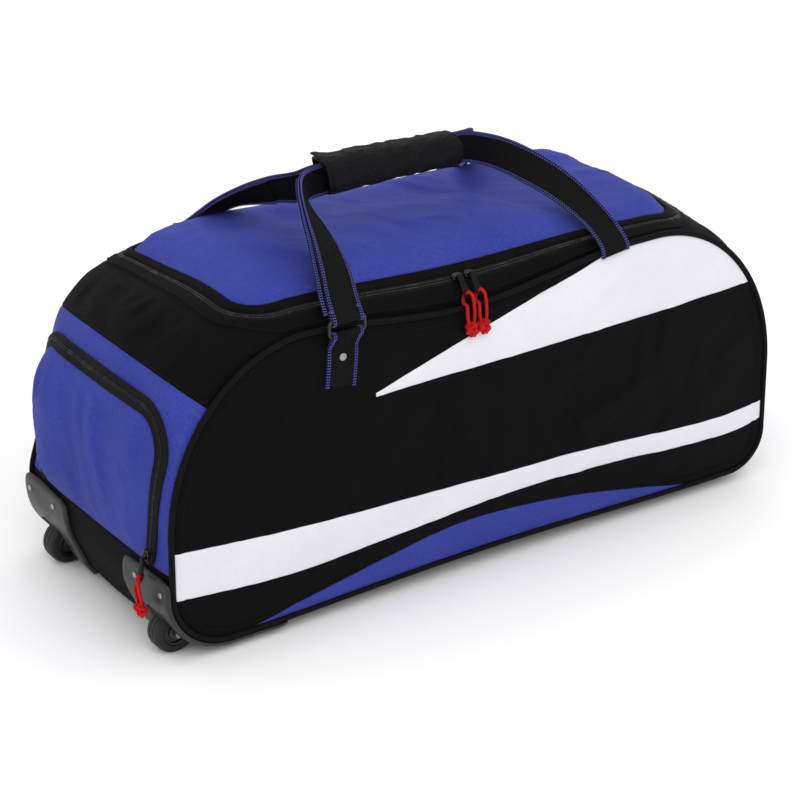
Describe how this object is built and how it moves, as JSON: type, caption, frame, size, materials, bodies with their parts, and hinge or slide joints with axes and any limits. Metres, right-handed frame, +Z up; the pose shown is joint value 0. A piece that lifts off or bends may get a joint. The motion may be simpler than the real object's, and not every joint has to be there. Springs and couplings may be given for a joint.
{
  "type": "wheeled bag",
  "caption": "Soft long holdall with a zipped lid, zipped end pockets, a wrapped carry handle and wheels in moulded guards at one end.",
  "frame": {"origin": "on the floor under the middle of the bag's length and width", "axes": "+X along the bag from the wheels to the far end, +Y across to the back side, +Z up"},
  "size_m": [0.8465, 0.3401, 0.4691],
  "materials": {
    "fabric_black": "matte woven polyester",
    "fabric_blue": "matte woven polyester",
    "fabric_white": "smooth coated polyester",
    "webbing": "ribbed webbing with coloured edges",
    "zip_black": "moulded zip teeth and sliders",
    "plastic_grey": "fine moulded grain",
    "tyre": "matte",
    "metal": "polished",
    "cord_red": "braided cord"
  },
  "bodies": {
    "bag": {"base": "fabric_black", "top_surround": "fabric_black", "lid_border": "fabric_black", "grip": "fabric_black", "lid_zip_chain": "zip_black", "lid_panel": "fabric_blue", "end_panel_wheel": "fabric_blue", "end_panel_far": "fabric_blue", "side_upper_near": "fabric_black", "side_white_near": "fabric_white", "side_stripe_white_near": "fabric_white", "side_lower_near": "fabric_black", "side_blue_near": "fabric_blue", "piping_near": "fabric_black", "guard_near": "plastic_grey", "wheel_axle_near": "metal", "guard_rivet_near_1": "metal", "guard_rivet_near_2": "metal", "strap_near": "webbing", "strap_patch_near": "webbing", "strap_rivet_near": "metal", "strap_ring_near": "plastic_grey", "side_upper_back": "fabric_black", "side_white_back": "fabric_white", "side_stripe_white_back": "fabric_white", "side_lower_back": "fabric_black", "side_blue_back": "fabric_blue", "piping_back": "fabric_black", "guard_back": "plastic_grey", "wheel_axle_back": "metal", "guard_rivet_back_1": "metal", "guard_rivet_back_2": "metal", "strap_back": "webbing", "strap_patch_back": "webbing", "strap_rivet_back": "metal", "strap_ring_back": "plastic_grey", "pocket_panel_wheel": "fabric_blue", "pocket_tape_wheel": "fabric_black", "pocket_chain_wheel": "zip_black", "pocket_panel_far": "fabric_blue", "pocket_tape_far": "fabric_black", "pocket_chain_far": "zip_black", "slider_lid_1": "zip_black", "slider_lid_2": "zip_black", "slider_pocket_wheel": "zip_black", "slider_pocket_far": "zip_black"},
    "wheel_near": {"wheel_tyre_near": "tyre", "wheel_hub_near": "plastic_grey"},
    "wheel_back": {"wheel_tyre_back": "tyre", "wheel_hub_back": "plastic_grey"},
    "lid_pull_1": {"tab_lid_1": "zip_black", "cord_lid_1": "cord_red"},
    "lid_pull_2": {"tab_lid_2": "zip_black", "cord_lid_2": "cord_red"},
    "wheel_pocket_pull": {"tab_pocket_wheel": "zip_black", "cord_pocket_wheel": "cord_red"},
    "far_pocket_pull": {"tab_pocket_far": "zip_black", "cord_pocket_far": "cord_red"}
  },
  "joints": [
    {"name": "wheel_near_spin", "type": "hinge", "parent": "bag", "child": "wheel_near", "pos_m": [-0.382, -0.118, 0.025], "axis": [0, 1, 0], "continuous": true},
    {"name": "wheel_back_spin", "type": "hinge", "parent": "bag", "child": "wheel_back", "pos_m": [-0.382, 0.118, 0.025], "axis": [0, 1, 0], "continuous": true},
    {"name": "lid_pull_1_lift", "type": "hinge", "parent": "bag", "child": "lid_pull_1", "pos_m": [-0.02578, -0.14132, 0.36159], "axis": [-0.9997, -0.0198, 0.0174], "range_deg": [0, 70]},
    {"name": "lid_pull_2_lift", "type": "hinge", "parent": "bag", "child": "lid_pull_2", "pos_m": [-0.00989, -0.14127, 0.36122], "axis": [-0.9999, -0.0103, 0.0091], "range_deg": [0, 70]},
    {"name": "wheel_pocket_pull_lift", "type": "hinge", "parent": "bag", "child": "wheel_pocket_pull", "pos_m": [-0.41552, -0.12118, 0.125], "axis": [-0.0359, 0.9993, 0.0043], "range_deg": [0, 70]},
    {"name": "far_pocket_pull_lift", "type": "hinge", "parent": "bag", "child": "far_pocket_pull", "pos_m": [0.41021, -0.13199, 0.19937], "axis": [-0.0716, -0.9974, -0.0086], "range_deg": [0, 70]}
  ]
}
